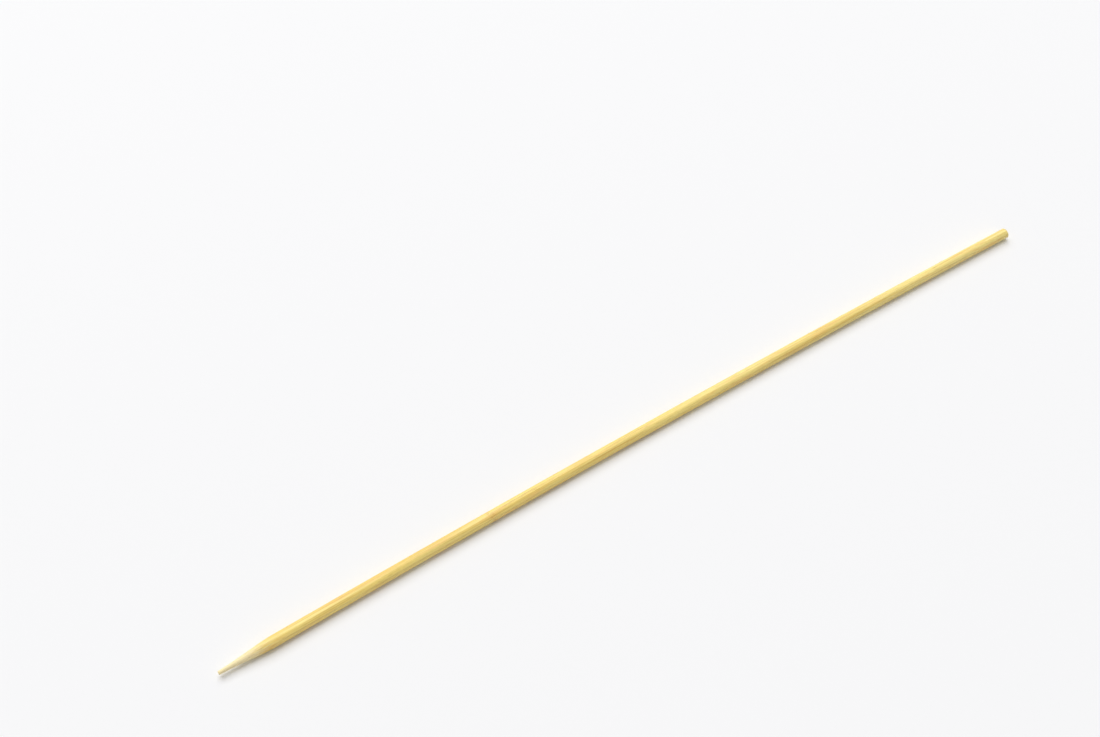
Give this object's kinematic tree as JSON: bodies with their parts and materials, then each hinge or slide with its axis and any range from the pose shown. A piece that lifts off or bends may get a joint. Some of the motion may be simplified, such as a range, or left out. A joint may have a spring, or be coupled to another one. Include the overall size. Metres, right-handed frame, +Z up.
{
  "type": "bamboo skewer",
  "caption": "Slim round bamboo stick, ground to a two-stage point at one end and sawn square at the other, for threading and grilling food.",
  "frame": {"origin": "middle of the skewer's box, on the surface that it lies on", "axes": "+X along the skewer from the ground point to the sawn end, +Z up from the surface that it lies on, +Y to the outside of its slight bow"},
  "size_m": [0.25, 0.0042, 0.0029],
  "materials": {
    "bamboo": "raw milled bamboo, matt with a slight silky sheen along the fibres"
  },
  "bodies": {
    "root": {"skewer": "bamboo"}
  },
  "joints": []
}
